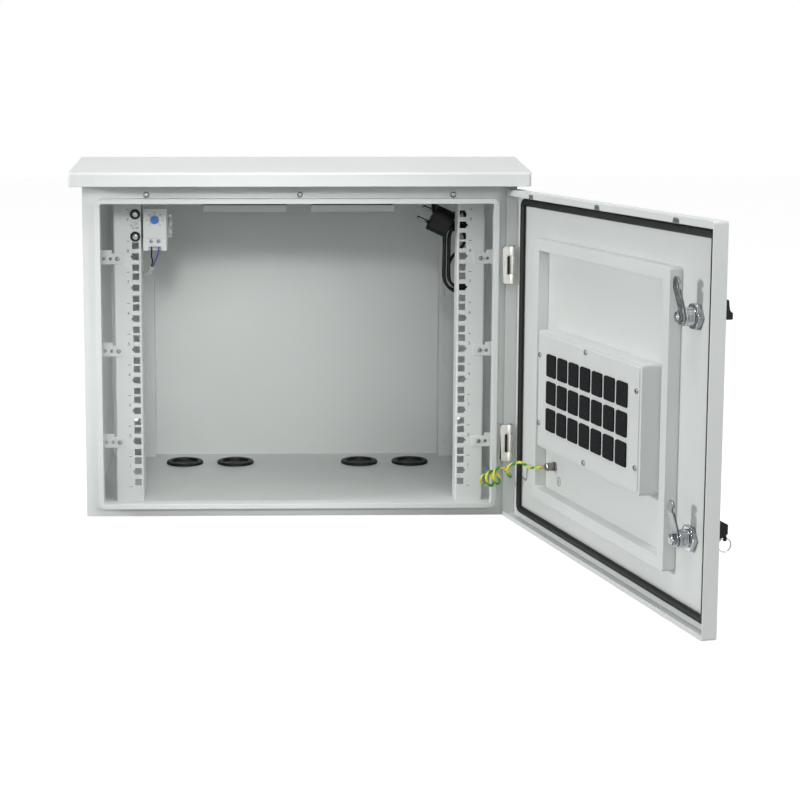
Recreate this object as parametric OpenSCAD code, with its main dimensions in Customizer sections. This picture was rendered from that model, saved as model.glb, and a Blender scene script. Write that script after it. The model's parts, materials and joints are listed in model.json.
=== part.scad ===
// Roadside utility cabinet: a folded sheet-steel housing with a hinged door, a rain canopy,
// a 19-inch rack frame, two ceiling fans and a filtered air inlet in the door.
// Millimetres, Z up, X to the right, the door at the front (-Y). Origin: the middle of the base.

/* [Rack] */
// Rack units between the floor and the fans
units = 9; // [6:1:14]
// Height of the lowest rack unit's lower edge above the base
unit_base = 27.2; // [24:0.1:40]
// Front face of the rack rails behind the front flange
rail_setback = 68; // [45:1:110]
// Width of a rail's face
rail_face = 39.5; // [34:0.5:44]
// Sheet of the rails and their brackets
rail_t = 2; // [1.5:0.5:3]
// Depth of a rail's inner flange, with the row of slots
rail_in = 35; // [25:1:45]
// Depth of a rail's outer flange
rail_out = 22; // [12:1:30]
// Height between the brackets that hold a rail to the side wall
bracket_pitch = 132.5; // [90:0.5:150]

/* [Body] */
// From a rail's outer edge to the inside of the side wall
side_gap = 34.45; // [30:0.05:80]
// Depth from the front flange to the back wall
body_d = 405; // [380:1:600]
// Height of the walls beyond the rack units
head_room = 68; // [66:0.5:100]
// Sheet that the body, door and canopy are folded from
sheet = 1.5; // [1:0.1:2]
// Outside radius of the folds
fold_r = 3; // [2.5:0.5:5]
// Underside of the floor above the base
floor_z = 3.3; // [3:0.1:12]
// How far the holes that fix the back to a wall are from the side walls, and from the top and base
wall_inset = [36.5, 64];
// Diameter of those holes
wall_hole_d = 9; // [6:0.5:13]

/* [Cable entries] */
// Diameter of each cable entry in the floor
entry_d = 50; // [30:1:54]
// Distances of the entries from the middle of the floor
entry_x = [98.5, 179];
// Distance of the entries from the back wall
entry_back = 71; // [45:1:120]
// Width of a grommet's flange beyond its hole
grommet_rim = 4; // [3:0.5:6]

/* [Front frame] */
// From the latch-side wall to the raised rim
rim_latch = 18.5; // [14:0.5:30]
// From the hinge-side wall to the raised rim
rim_hinge = 25.5; // [25:0.5:35]
// From the base to the rim
rim_foot = 13.5; // [11:0.5:25]
// From the top of the walls to the rim
rim_head = 20.5; // [19:0.5:35]
// Width of the rim's sealing face
rim_w = 7; // [5:0.5:10]
// Corner radius of the rim
rim_r = 10; // [9:0.5:16]
// Distance of the outer canopy screws from the middle
screw_x = 211.5; // [120:0.5:230]

/* [Canopy] */
// How far the canopy stands out at each side
canopy_side = 14; // [6:0.5:40]
// How far it stands out at the front
canopy_front = 40.5; // [26:0.5:80]
// Height of its lip
canopy_lip = 19.5; // [12:0.5:40]
// How far the lip hangs below the top of the walls
canopy_hang = 2.5; // [1:0.5:5]
// Rise from the lip's upper edge to the ridge
canopy_rise = 14; // [4:0.5:40]
// Distance of the ridge behind the canopy's front
ridge_back = 175; // [100:1:300]

/* [Door] */
// How far the door stands open, in degrees
door_open = 104; // [0:1:110]
// Depth of the folded door
door_t = 18; // [16:0.5:20]
// Gap between the shut door and the front flange
door_gap = 3; // [3:0.5:5]
// Gap at the door's upright edges
door_side = 0.5; // [0.5:0.5:3]
// Height of the door's lower edge above the base
door_foot = 1; // [1:0.5:5]
// From the top of the walls down to the door's upper edge
door_head = 8; // [6:0.5:9]
// Height of the lip folded along the door's top
lip_top = 8.5; // [6:0.5:9]
// Height of the lip folded along the door's foot
lip_foot = 6; // [4:0.5:7]
// Width of the door's seal
gasket_w = 10; // [8:0.5:12]
// Thickness of the door's seal
gasket_t = 4.2; // [3:0.1:5]
// Width of the stiffening frame
stiff_w = 398; // [360:1:440]
// Height of the stiffening frame
stiff_h = 349; // [330:1:380]
// How far its middle sits below the middle of the door
stiff_drop = 4; // [0:0.5:8]
// Width of the stiffening frame's members
stiff_m = 15; // [10:0.5:20]

/* [Air filter] */
// Holes across and up the filter's cover
filter_n = [7, 3];
// Pitch of those holes
filter_pitch = 35.5; // [34:0.1:37]
// Side of each square hole
filter_hole = 29.4; // [20:0.1:31]
// Margins of the cover beside its holes, and above and below them
filter_edge = [29, 23];
// Depth of the filter box
filter_d = 26.5; // [22:0.5:32]
// How far the filter sits below the middle of the door
filter_drop = 23; // [0:1:40]

/* [Hinges and locks] */
// Height between the two hinges, and between the two locks
hinge_pitch = 250; // [200:1:320]
// Height of a hinge
hinge_h = 51.4; // [40:0.2:70]
// Diameter of a hinge pin
pin_d = 5; // [4:0.5:5.5]
// How far each lock sits below the height of a hinge
lock_drop = 5; // [0:0.5:20]
// From the door's free edge to the axis of a lock
lock_inset = 62; // [60:0.5:64]
// Diameter of a lock's barrel
lock_d = 20; // [18:0.5:22]
// From the door's outside to the root of a lock's cam
lock_reach = 20; // [18:0.5:26]
// Length of a cam from its axis to its tip
cam_l = 45; // [44:0.5:52]
// How far the cam's tip is cranked back
cam_crank = 6.5; // [5:0.1:8]

/* [Fans and switch] */
// Side of a fan's frame
fan_w = 119; // [92:1:120]
// Depth of a fan's frame
fan_h = 38; // [32:1:40]
// Distance of each fan's axis from the middle
fan_x = 79; // [68:0.5:90]
// Width, depth and height of the temperature switch
switch_size = [33, 38, 60];
// Diameter of its dial
dial_d = 10.6; // [8:0.1:14]

/* [Hidden] */
$fa = 5;
$fs = 0.6;
fit = 0.3;
run = 0.05;
unit_h = 44.45;
rack_pitch = 465.1;
unit_holes = [6.35, 22.225, 38.1];

PAINT = "#e3e6e4";
STEEL = "#b9bcbd";
CHROME = "#d5d8da";
BLACK = "#1c1c1e";
RUBBER = "#2a2b2d";
FOAM = "#26272a";
DARK = "#5b5f63";

rail_x0 = rack_pitch / 2 - 8;
rail_x1 = rail_x0 + rail_face;
body_w = 2 * (rail_x1 + side_gap + sheet);
body_h = units * unit_h + head_room;
front_y = -body_d / 2;
back_y = body_d / 2;
wall_x = body_w / 2 - sheet;
floor_top = floor_z + sheet;
ceil_z = body_h - sheet;
entry_y = back_y - entry_back;

door_x0 = door_side - body_w / 2;
door_x1 = body_w / 2 - door_side;
door_z0 = door_foot;
door_z1 = body_h - door_head;
door_zm = (door_z0 + door_z1) / 2;
door_y1 = front_y - door_gap;
door_y0 = door_y1 - door_t;
skin_y = door_y0 + sheet;
levels = [door_zm - hinge_pitch / 2, door_zm + hinge_pitch / 2];
lock_x = door_x0 + lock_inset;
lock_z = [for (z = levels) z - lock_drop];
filter_z = door_zm - filter_drop;

pin_x = door_x1 - 6;
pin_y = door_y1 - 8;
knuckle_d = 8;
knuckle_h = 25;
leaf_t = 2;
leaf_x = pin_x - 12.5;

rim_x0 = rim_latch - body_w / 2;
rim_x1 = body_w / 2 - rim_hinge;
rim_z0 = rim_foot;
rim_z1 = body_h - rim_head;
rim_y = skin_y + gasket_t + fit;
rim_back = door_y0 + lock_reach + cam_crank - fit;
frame_screw_z = rim_z1 + 4.7;

roof_x = body_w / 2 + canopy_side;
roof_y = front_y - canopy_front;
lip_z = body_h - canopy_hang;
eave_z = lip_z + canopy_lip;
ridge_y = roof_y + ridge_back;
ridge_z = eave_z + canopy_rise;
brace_x = body_w / 3;

rail_y = front_y + rail_setback;
rail_h = ceil_z - floor_top - 4;
tab_h = 15.6;
tab_step = 4.5;
tab_x0 = rail_x1 - 15.5;
tab_screw_x = rail_x1 - 6;
bracket_leg = 28;
lead_gap = 0.5;
bracket_z = [for (k = [-1:1]) unit_base + units * unit_h / 2 - 2 + k * bracket_pitch];
post_x = rail_x0 + 16;
post_w = 24;
post_d = 22;
post_y = back_y - sheet - post_d;

switch_x = -205.3;
switch_y = rail_y + 4;
switch_z = unit_base + (units - 1) * unit_h - 14.4;
dial_z = switch_z + 43.8;
din_y = switch_y + switch_size.y;
din_z = switch_z + 33.3;
cage_z = [for (h = [unit_holes[0], unit_holes[2]]) unit_base + (units - 1) * unit_h + h];

fan_z = ceil_z - fan_h;
fan_bore = fan_w - 7;
fan_r = fan_bore / 2 + 2.5;
tray_w = fan_w + 6;
tray_h = 9.5;
shaft_d = 6;

stud_d = 6;
door_stud = [stiff_w / 2 - stiff_m - 32.5, skin_y, door_zm - stiff_drop - stiff_h / 2 + stiff_m + 34];
frame_stud = [wall_x, front_y + 37.5, 38];

// Where the loose wiring runs, from each lead's start to its end
switch_route = [[-205, -124, switch_z + 6], [-206, -124, 362], [-210, -122, 350], [-216, -112, 341],
    [-222, -94, 336], [-232, -90, 336], [-241, -90, 348], [-242, -90, 400], [-238, -86, 440],
    [-215, -60, 453], [-180, -20, 447], [-152, 0, 447], [-fan_x - fan_r - lead_gap, 0, 447]];
plug_at = [186, -84, 407];
plug_route = [[223, -84, 370], [228, -83, 357], [229, -77, 346], [229, -71, 343.4], [229, -66.6, 343]];
hank_at = [235, -66, 352];
hank_size = [44, 20, 104];
fan_route = [[235, -56, 404 + lead_gap], [235, -56, 418], [222, -52, 438], [192, -30, 450], [160, -4, 448],
    [fan_x + fan_r + lead_gap, 0, 447]];
earth_route = [[293, -188, 38], [285, -191, 39], [273, -186, 40], [264, -183, 42], [256, -190, 44],
    [252, -208, 48], [257, -226, 53], [268, -234, 60], [280, -238, 69], [290, -246, 80],
    [298, -266, 88]];
earth_rise = [[50, 21, -6], [34, 21, -2], [29, 16, -1], [24.5, 9, 0], [20.8, 5.8, 0], [17.6, 5, 0]];

body_wrap();
floor_plate();
ceiling_plate();
front_frame();
frame_screws();
roof_canopy();
roof_braces();
rail_left();
rail_right();
rail_brackets();
bracket_screws();
rear_posts();
switch_bracket();
switch_body();
switch_dial();
switch_lead();
cage_screws();
cage_washers();
fan_trays();
fan_frames();
rotor_left();
rotor_right();
plug_body();
plug_pins();
plug_lead();
lead_hank();
fan_lead();
grommets();
hinge_leaves();
hinge_pins();
earth_stud_frame();
earth_lug_frame();
earth_wire();
door_panel();
door_gasket();
door_stiffener();
filter_box();
filter_cover();
filter_mat();
filter_screws();
hinge_knuckles();
lock_housings();
lock_nuts();
lock_plug_top();
lock_plug_bottom();
lock_cam_top();
lock_cam_bottom();
key_top();
key_bottom();
key_ring();
earth_stud_door();
earth_lug_door();

// Shared shapes

function unit(v) = v / norm(v);

// The arc that rounds corner b of the outline a, b, c
function corner_arc(a, b, c, r, n = 5) =
    let (u = unit(a - b), v = unit(c - b), half = acos(u * v) / 2)
    let (o = b + unit(u + v) * r / sin(half))
    let (p = b + u * r / tan(half) - o, q = b + v * r / tan(half) - o)
    let (from = atan2(p.y, p.x), turn = (atan2(q.y, q.x) - from + 540) % 360 - 180)
    [for (i = [0:n]) o + r * [cos(from + turn * i / n), sin(from + turn * i / n)]];

// An outline with a radius at each of its points, or none where the radius is 0
function rounded(p, r) =
    let (n = len(p))
    [for (i = [0:n - 1]) each r[i] == 0 ? [p[i]]
        : corner_arc(p[(i + n - 1) % n], p[i], p[(i + 1) % n], r[i])];

// A smooth run through the points of a route, m steps to each stretch
function smooth(p, m) =
    let (n = len(p))
    [for (i = [0:n - 2], s = [0:m - 1])
        let (a = p[max(i - 1, 0)], b = p[i], c = p[i + 1], d = p[min(i + 2, n - 1)], t = s / m)
        b + (c - a) * t / 2 + (2 * a - 5 * b + 4 * c - d) * t * t / 2
            + (3 * b - a - 3 * c + d) * t * t * t / 2,
        p[n - 1]];

// A round tube along a path; up is any direction that the path never takes
module tube(path, d, up, sides = 8) {
    n = len(path);
    points = [for (i = [0:n - 1])
        let (t = unit(path[min(i + 1, n - 1)] - path[max(i - 1, 0)]))
        let (u = unit(cross(t, up)), v = cross(t, u))
        for (j = [0:sides - 1]) path[i] + d / 2 * (u * cos(360 * j / sides) + v * sin(360 * j / sides))];
    walls = [for (i = [0:n - 2], j = [0:sides - 1])
        let (k = (j + 1) % sides)
        [i * sides + j, (i + 1) * sides + j, (i + 1) * sides + k, i * sides + k]];
    ends = [[for (j = [0:sides - 1]) j], [for (j = [sides - 1:-1:0]) (n - 1) * sides + j]];
    polyhedron(points, concat(walls, ends));
}

// A flat outline drawn in X and Z, d thick from y backwards
module front(y, d) {
    translate([0, y + d, 0]) rotate([90, 0, 0]) linear_extrude(d) children();
}

// A flat outline drawn in Y and Z, w thick from x to the right
module side(x, w) {
    translate([x, 0, 0]) rotate([90, 0, 90]) linear_extrude(w) children();
}

// A rectangle between two corners with corners of radius r
module rect(x0, z0, x1, z1, r = 0) {
    translate([x0 + r, z0]) square([x1 - x0 - 2 * r, z1 - z0]);
    if (r > 0) {
        translate([x0, z0 + r]) square([x1 - x0, z1 - z0 - 2 * r]);
        for (x = [x0 + r, x1 - r], z = [z0 + r, z1 - r]) translate([x, z]) circle(r);
    }
}

// A rectangle of that size around the drawing's origin
module middle_rect(w, h, r = 0) {
    rect(-w / 2, -h / 2, w / 2, h / 2, r);
}

// A pan-head screw along Z: its head below z = 0, its shank above
module pan_screw(head_d, head_h, d, l) {
    rotate_extrude() polygon(rounded([[0, -head_h], [head_d / 2, -head_h], [head_d / 2, 0], [0, 0]],
        [0, head_h * 0.7, 0, 0]));
    cylinder(d = d, h = l);
}

// A hexagon nut across flats f, with a bore or solid
module nut(f, h, bore = 0) {
    difference() {
        cylinder(d = f / cos(30), h = h, $fn = 6);
        if (bore > 0) translate([0, 0, -1]) cylinder(d = bore, h = h + 2);
    }
}

// Turns local Z to run into the cabinet
module inward(p) {
    translate(p) rotate([-90, 0, 0]) children();
}

// The door's swing about its hinge pins, applied to a piece drawn with the door shut
module swing() {
    translate([pin_x, pin_y, 0]) rotate([0, 0, door_open]) translate([-pin_x, -pin_y, 0]) children();
}

// Where a point of the shut door is with the door open
function swung(p) =
    let (d = p - [pin_x, pin_y, 0], c = cos(door_open), s = sin(door_open))
    [pin_x + d.x * c - d.y * s, pin_y + d.x * s + d.y * c, p.z];

// Body

module inside_plan(inset = 0) {
    rect(inset - wall_x, front_y + sheet + inset, wall_x - inset, back_y - sheet - inset, fold_r);
}

// The two sides and the back, folded from one sheet
module body_wrap() color(PAINT) difference() {
    linear_extrude(body_h) difference() {
        union() {
            rect(-body_w / 2, front_y + sheet, body_w / 2, back_y, fold_r);
            translate([-body_w / 2, front_y + sheet]) square([body_w, body_d / 2]);
        }
        rect(-wall_x, front_y - fold_r, wall_x, back_y - sheet, fold_r - sheet);
    }
    for (s = [-1, 1], z = [wall_inset.y, body_h - wall_inset.y])
        inward([s * (wall_x - wall_inset.x), back_y - 2 * sheet, z]) cylinder(d = wall_hole_d, h = 3 * sheet);
}

module entry_places() {
    for (s = [-1, 1], x = entry_x) translate([s * x, entry_y, floor_z]) children();
}

// The floor, a shallow pan with its edges turned down, a bearing bar across and a drain
module floor_plate() color(PAINT) difference() {
    linear_extrude(floor_top) inside_plan();
    translate([0, 0, -1]) linear_extrude(floor_z + 1) difference() {
        inside_plan(sheet);
        middle_rect(body_w, 40);
    }
    entry_places() translate([0, 0, -1]) cylinder(d = entry_d, h = sheet + 2);
    translate([entry_x[0] - 40, back_y - 12, 0]) cylinder(d = 5, h = 2 * floor_top);
}

module fan_places() {
    for (s = [-1, 1]) translate([s * fan_x, 0, 0]) children();
}

// The ceiling, with an opening over each fan and a lip behind the front flange
module ceiling_plate() color(PAINT) {
    translate([0, 0, ceil_z]) linear_extrude(sheet) difference() {
        inside_plan();
        fan_places() circle(d = fan_bore);
    }
    difference() {
        front(front_y + sheet, sheet) rect(-wall_x, rim_z1 + sheet, wall_x, body_h);
        screw_places() translate([0, 0, -1]) cylinder(d = 4, h = 4 * sheet + 2);
    }
}

module rim_plan(inset) {
    rect(rim_x0 + inset, rim_z0 + inset, rim_x1 - inset, rim_z1 - inset, rim_r - inset);
}

module rim_ring(outer, inner) {
    difference() {
        rim_plan(outer);
        rim_plan(inner);
    }
}

// Places of the screws through the front flange, Z running into the cabinet
module screw_places() {
    for (x = [-screw_x, 0, screw_x]) inward([x, front_y, frame_screw_z]) children();
}

// The front flange with its raised sealing rim, folded back inside the opening
module front_frame() color(PAINT) {
    difference() {
        front(front_y, sheet) difference() {
            rect(-body_w / 2, 0, body_w / 2, body_h);
            rim_plan(sheet);
        }
        screw_places() translate([0, 0, -1]) cylinder(d = 4, h = sheet + 2);
    }
    front(rim_y, front_y + sheet - rim_y) rim_ring(0, sheet);
    front(rim_y, sheet) rim_ring(0, rim_w);
    front(rim_y, rim_back - rim_y) rim_ring(rim_w - sheet, rim_w);
}

module frame_screws() color(STEEL) screw_places() {
    pan_screw(8, 2.6, 4, 9);
    translate([0, 0, 2 * sheet]) nut(7, 3.2);
}

// Canopy

// Inner face of the canopy's top at depth y
function roof_in(y) = eave_z - sheet + canopy_rise * (y < ridge_y
    ? (y - roof_y - sheet) / (ridge_back - sheet) : (back_y - sheet - y) / (back_y - sheet - ridge_y));

module roof_form(inset, r) {
    intersection() {
        side(inset - roof_x, 2 * (roof_x - inset)) polygon(rounded(
            [[roof_y + inset, lip_z - inset], [roof_y + inset, eave_z - inset], [ridge_y, ridge_z - inset],
            [back_y - inset, eave_z - inset], [back_y - inset, lip_z - inset]], [0, r, 0, r, 0]));
        translate([0, 0, lip_z - inset]) linear_extrude(ridge_z)
            rect(inset - roof_x, roof_y + inset, roof_x - inset, back_y - inset, r);
    }
}

// The canopy's shell, standing on the top of the back wall
module roof_canopy() color(PAINT) difference() {
    roof_form(0, fold_r + 1);
    roof_form(sheet, fold_r + 1 - sheet);
    translate([-body_w / 2 - fit, back_y - 2 * sheet, lip_z - 1])
        cube([body_w + 2 * fit, 3 * sheet, canopy_hang + 1]);
}

// Two gables on the ceiling that carry the canopy
module roof_braces() color(PAINT) for (s = [-1, 1]) {
    y0 = front_y + 18;
    y1 = back_y - 18;
    side(s * brace_x - sheet / 2, sheet) polygon([[y0, body_h], [y1, body_h], [y1, roof_in(y1)],
        [ridge_y, roof_in(ridge_y)], [y0, roof_in(y0)]]);
    translate([s * brace_x - 9, y0, body_h]) cube([18, y1 - y0, sheet]);
}

// Rack frame

module rail_plan() {
    polygon(rounded([[rail_x0, rail_y], [rail_x1, rail_y], [rail_x1, rail_y + rail_out],
        [rail_x1 - rail_t, rail_y + rail_out], [rail_x1 - rail_t, rail_y + rail_t],
        [rail_x0 + rail_t, rail_y + rail_t], [rail_x0 + rail_t, rail_y + rail_in],
        [rail_x0, rail_y + rail_in]], [rail_t + 0.8, rail_t + 0.8, 0, 0, 0.8, 0.8, 0, 0]));
}

// The square holes of every unit, the middle one with a round notch beside it
module unit_holes_plan() {
    for (u = [0:units - 1]) translate([rack_pitch / 2, unit_base + u * unit_h]) {
        for (z = unit_holes) translate([0, z]) square(9.5, center = true);
        translate([5.2, unit_holes[1]]) circle(d = 4);
    }
}

// The right-hand rail; the left one is its mirror image
module rail() color(PAINT) difference() {
    translate([0, 0, floor_top]) linear_extrude(rail_h) rail_plan();
    front(rail_y - 1, rail_t + 2) {
        unit_holes_plan();
        for (z = bracket_z) translate([tab_screw_x, z]) circle(d = 5);
    }
    side(rail_x0 - 1, rail_t + 2) for (u = [0:3 * units - 1])
        translate([rail_y + rail_in / 2 + 4, unit_base + (u + 0.5) * unit_h / 3]) middle_rect(7, 9);
}

module rail_left() mirror([1, 0, 0]) rail();

module rail_right() rail();

// A bracket from the side wall to the front of the rail, around its own height
module bracket() {
    front(rail_y - rail_t, rail_t) difference() {
        union() {
            rect(tab_x0, -tab_h / 2, wall_x, tab_h / 2, 2);
            rect(rail_x1 + rail_t, -tab_h / 2, wall_x, tab_h / 2 + tab_step, 2);
        }
        for (k = [0:2]) translate([tab_screw_x + k * 9.8, 0]) circle(d = 5);
    }
    side(wall_x - rail_t, rail_t)
        rect(rail_y - rail_t, -tab_h / 2, rail_y + bracket_leg, tab_h / 2 + tab_step);
}

module rail_brackets() color(PAINT)
    for (s = [0, 1], z = bracket_z) mirror([s, 0, 0]) translate([0, 0, z]) bracket();

module bracket_screws() color(STEEL) for (s = [-1, 1], z = bracket_z)
    inward([s * tab_screw_x, rail_y - rail_t, z]) {
        pan_screw(6.4, 1.6, 4, 2 * rail_t + 5);
        translate([0, 0, 2 * rail_t]) rotate(30) nut(7, 3.2);
    }

// A channel on the back wall with a column of pressed marks, round and long in turn
module rear_post() difference() {
    translate([0, 0, floor_top]) linear_extrude(ceil_z - floor_top) difference() {
        rect(post_x - post_w / 2, post_y, post_x + post_w / 2, back_y - sheet);
        rect(post_x - post_w / 2 + sheet, post_y + sheet, post_x + post_w / 2 - sheet, back_y);
    }
    front(post_y - 1, sheet / 3 + 1) for (u = [0:units - 1])
        translate([post_x - 1.5, unit_base + u * unit_h]) {
            circle(d = 4);
            translate([0, unit_h / 2]) middle_rect(3.6, 9, 1.7);
        }
}

module rear_posts() color(PAINT) for (s = [0, 1]) mirror([s, 0, 0]) rear_post();

// Temperature switch

// A bracket screwed behind the left rail, with the hat rail that the switch clips to
module switch_bracket() color(STEEL) {
    x = -rail_x0 - rail_t - 0.5;
    z0 = cage_z[0] - 9;
    z1 = cage_z[1] + 9;
    difference() {
        front(rail_y + rail_t, sheet) rect(x - 14.5, z0, x, z1);
        for (z = cage_z) inward([-rack_pitch / 2, rail_y, z]) cylinder(d = 5, h = 3 * rail_t);
    }
    side(x - sheet, sheet) rect(rail_y + rail_t, din_z - 17.5, din_y + 7.5, din_z + 17.5);
    side(x - sheet, switch_x + 22 - x + sheet) translate([din_y, din_z]) difference() {
        union() {
            rect(0, -17.5, 1, 17.5);
            rect(0, -13.5, 7.5, 13.5);
        }
        rect(-1, -12.5, 6.5, 12.5);
    }
}

module switch_body() color(PAINT) difference() {
    front(switch_y, switch_size.y) rect(switch_x - switch_size.x / 2, switch_z,
        switch_x + switch_size.x / 2, switch_z + switch_size.z, 1.6);
    front(switch_y - 1, 1.6) rect(switch_x - 20, switch_z + 18, switch_x + 20, switch_z + 18.7);
    front(switch_y - 1, 11) rect(switch_x - 9, switch_z - 2, switch_x + 9, switch_z + 6);
    for (x = [-5, 5]) inward([switch_x + x, switch_y - 1, switch_z + 13.9]) cylinder(d = 5, h = 7);
    for (k = [-3:3]) translate([switch_x + k * 4.2 - 1, switch_y + 4, switch_z + switch_size.z - 3.5])
        cube([2, switch_size.y, 5]);
    inward([switch_x, switch_y - 1, dial_z]) {
        cylinder(d = dial_d + 1, h = 2.2);
        cylinder(d = 4 + 2 * run, h = 12);
    }
}

module switch_dial() color("#2f6fb3") inward([switch_x, switch_y, dial_z]) difference() {
    union() {
        translate([0, 0, -1.4]) cylinder(d = dial_d, h = 2.3);
        cylinder(d = 4, h = 10);
    }
    translate([-4, -0.6, -2]) cube([8, 1.2, 1.6]);
}

module switch_lead() color("#f2f2f0") tube(smooth(switch_route, 5), 5, [0.25, 1, 0.3]);

module cage_screws() color(STEEL) for (z = cage_z) inward([-rack_pitch / 2, rail_y - 1.6, z]) {
    pan_screw(9.6, 3.4, 5, rail_t + sheet + 9);
    translate([0, 0, 1.6 + rail_t + sheet]) cylinder(d = 7.6, h = 4);
}

module cage_washers() color(BLACK) for (z = cage_z) inward([-rack_pitch / 2, rail_y - 1.6, z])
    difference() {
        cylinder(d = 14.4, h = 1.6);
        translate([0, 0, -1]) cylinder(d = 5, h = 4);
    }

// Fans

// The guard under a fan: a tray whose folded edge carries the frame
module fan_tray() {
    translate([0, 0, fan_z - tray_h]) difference() {
        linear_extrude(tray_h) middle_rect(tray_w, tray_w, 3);
        translate([0, 0, 1.2]) linear_extrude(tray_h - 2.4) middle_rect(tray_w - 2.4, tray_w - 2.4, 2);
        translate([0, 0, tray_h / 2]) linear_extrude(tray_h) middle_rect(fan_bore, fan_bore, 4);
        translate([0, 0, -1]) linear_extrude(3) difference() {
            for (d = [24:18:fan_bore - 6]) difference() {
                circle(d = d + 9);
                circle(d = d);
            }
            for (a = [0, 90]) rotate(a) middle_rect(tray_w, 5);
        }
    }
}

module fan_trays() color(PAINT) fan_places() fan_tray();

// A fan's frame, open through the middle, with its motor plate and shaft under the ceiling
module fan_frame() {
    difference() {
        union() {
            for (z = [fan_z, ceil_z - 4]) translate([0, 0, z]) linear_extrude(4) middle_rect(fan_w, fan_w, 6);
            translate([0, 0, fan_z]) cylinder(r = fan_r, h = fan_h);
        }
        translate([0, 0, fan_z - 1]) cylinder(d = fan_bore, h = fan_h + 2);
        for (x = [-1, 1], y = [-1, 1]) translate([x * 0.44 * fan_w, y * 0.44 * fan_w, fan_z - 1])
            cylinder(d = 4.4, h = fan_h + 2);
    }
    translate([0, 0, ceil_z - 5]) linear_extrude(5) {
        circle(d = 44);
        for (a = [45, 135]) rotate(a) middle_rect(fan_bore + 2, 6);
    }
    translate([0, 0, fan_z + 10]) cylinder(d = shaft_d, h = fan_h - 11);
}

module fan_frames() color(BLACK) fan_places() fan_frame();

module rotor() color(BLACK) difference() {
    translate([0, 0, fan_z + 4]) {
        cylinder(d = 42, h = fan_h - 10);
        for (k = [0:6]) rotate(k * 360 / 7) translate([18, 0, (fan_h - 10) / 2]) rotate([38, 0, 0])
            translate([0, -0.9, -14]) cube([fan_bore / 2 - 20.5, 1.8, 28]);
    }
    translate([0, 0, fan_z + 9.5]) cylinder(d = shaft_d + 2 * run, h = fan_h);
}

module rotor_left() translate([-fan_x, 0, 0]) rotor();

module rotor_right() translate([fan_x, 0, 0]) rotor();

// Loose mains lead with its plug, coiled behind the right rail

// The plug's own frame: X along its pins, pointing up and to the left
module plug_frame() translate(plug_at) rotate([0, 225, 0]) rotate([70, 0, 0]) children();

module plug_body() color(BLACK) plug_frame() {
    translate([-30, 0, 0]) rotate([90, 0, 90]) linear_extrude(30) {
        middle_rect(14, 26);
        for (x = [-7, 7]) translate([x, 0]) circle(d = 26);
    }
    translate([-44, 0, 0]) rotate([0, 90, 0]) cylinder(d1 = 8, d2 = 16, h = 14);
}

module plug_pins() color(CHROME) plug_frame() for (y = [-9.5, 9.5])
    translate([0, y, 0]) rotate([0, 90, 0]) {
        cylinder(d = 4.8, h = 17.5);
        translate([0, 0, 17.5]) cylinder(d1 = 4.8, d2 = 3, h = 1.5);
    }

module plug_lead() color(BLACK)
    tube(smooth(concat([plug_at + [31.6, 0, -31.6]], plug_route), 6), 7, [0, 1, 0], 10);

module lead_hank() color(BLACK) translate(hank_at) front(0, hank_size.y) {
    for (z = [-1, 1]) translate([0, z * (hank_size.z - hank_size.x) / 2]) circle(d = hank_size.x);
    middle_rect(hank_size.x, hank_size.z - hank_size.x);
}

module fan_lead() color(BLACK) tube(smooth(fan_route, 6), 7, [0.3, 1, 0.4], 10);

// A cable grommet in each floor entry, closed by a thin membrane
module grommets() color(RUBBER) entry_places() rotate_extrude() {
    r = entry_d / 2;
    polygon(rounded([[0, 0.6], [r - 5, 0.6], [r - 5, -2.4], [r + grommet_rim - 1, -2.4],
        [r + grommet_rim - 1, 0], [r, 0], [r, sheet], [r + grommet_rim, sheet],
        [r + grommet_rim, sheet + 4.4], [r - 4, sheet + 4.4], [r - 5, 2.2], [0, 2.2]],
        [0, 0, 0, 1, 0, 0, 0, 0, 2.6, 1, 0, 0]));
}

// Hinges

// The fixed half of a hinge: a windowed plate on the front flange with two barrels
module hinge_leaf() {
    difference() {
        union() {
            front(pin_y - leaf_t, leaf_t) rect(leaf_x, -hinge_h / 2, pin_x, hinge_h / 2, 1.5);
            translate([0, 0, -hinge_h / 2]) translate([pin_x, pin_y, 0]) cylinder(d = knuckle_d, h = hinge_h);
            side(leaf_x, leaf_t) rect(pin_y - leaf_t, -hinge_h / 2, front_y, hinge_h / 2, 0.8);
        }
        translate([pin_x - 7.5, pin_y - knuckle_d, -knuckle_h / 2 - fit])
            cube([7.5 + knuckle_d, 2 * knuckle_d, knuckle_h + 2 * fit]);
        translate([pin_x, pin_y, -hinge_h]) cylinder(d = pin_d, h = 2 * hinge_h);
    }
}

module hinge_leaves() color(PAINT) for (z = levels) translate([0, 0, z]) hinge_leaf();

module hinge_pins() color(STEEL) for (z = levels) translate([pin_x, pin_y, z - hinge_h / 2]) {
    cylinder(d = pin_d, h = hinge_h);
    translate([0, 0, hinge_h]) cylinder(d = pin_d + 1.6, h = 1.2);
}

// The middle knuckle of each hinge, welded inside the door's edge
module hinge_knuckles() color(PAINT) swing() for (z = levels)
    translate([0, 0, z - knuckle_h / 2]) difference() {
        union() {
            translate([pin_x, pin_y, 0]) cylinder(d = knuckle_d, h = knuckle_h);
            translate([pin_x, pin_y - 4, 0]) cube([door_x1 - sheet - pin_x, 7, knuckle_h]);
        }
        translate([pin_x, pin_y, -1]) cylinder(d = pin_d + 2 * run, h = knuckle_h + 2);
    }

// Door

module door_plan(inset) {
    rect(door_x0 + inset, door_z0 + inset, door_x1 - inset, door_z1 - inset, fold_r - inset);
}

// A clear bite in the door's upper lip in front of each canopy screw
module lip_notch(x) {
    z = door_z1 - lip_top;
    translate([x, z]) polygon(rounded([[-8, -1], [8, -1], [8, frame_screw_z + 5.2 - z],
        [-8, frame_screw_z + 5.2 - z]], [0, 0, 4, 4]));
}

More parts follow.
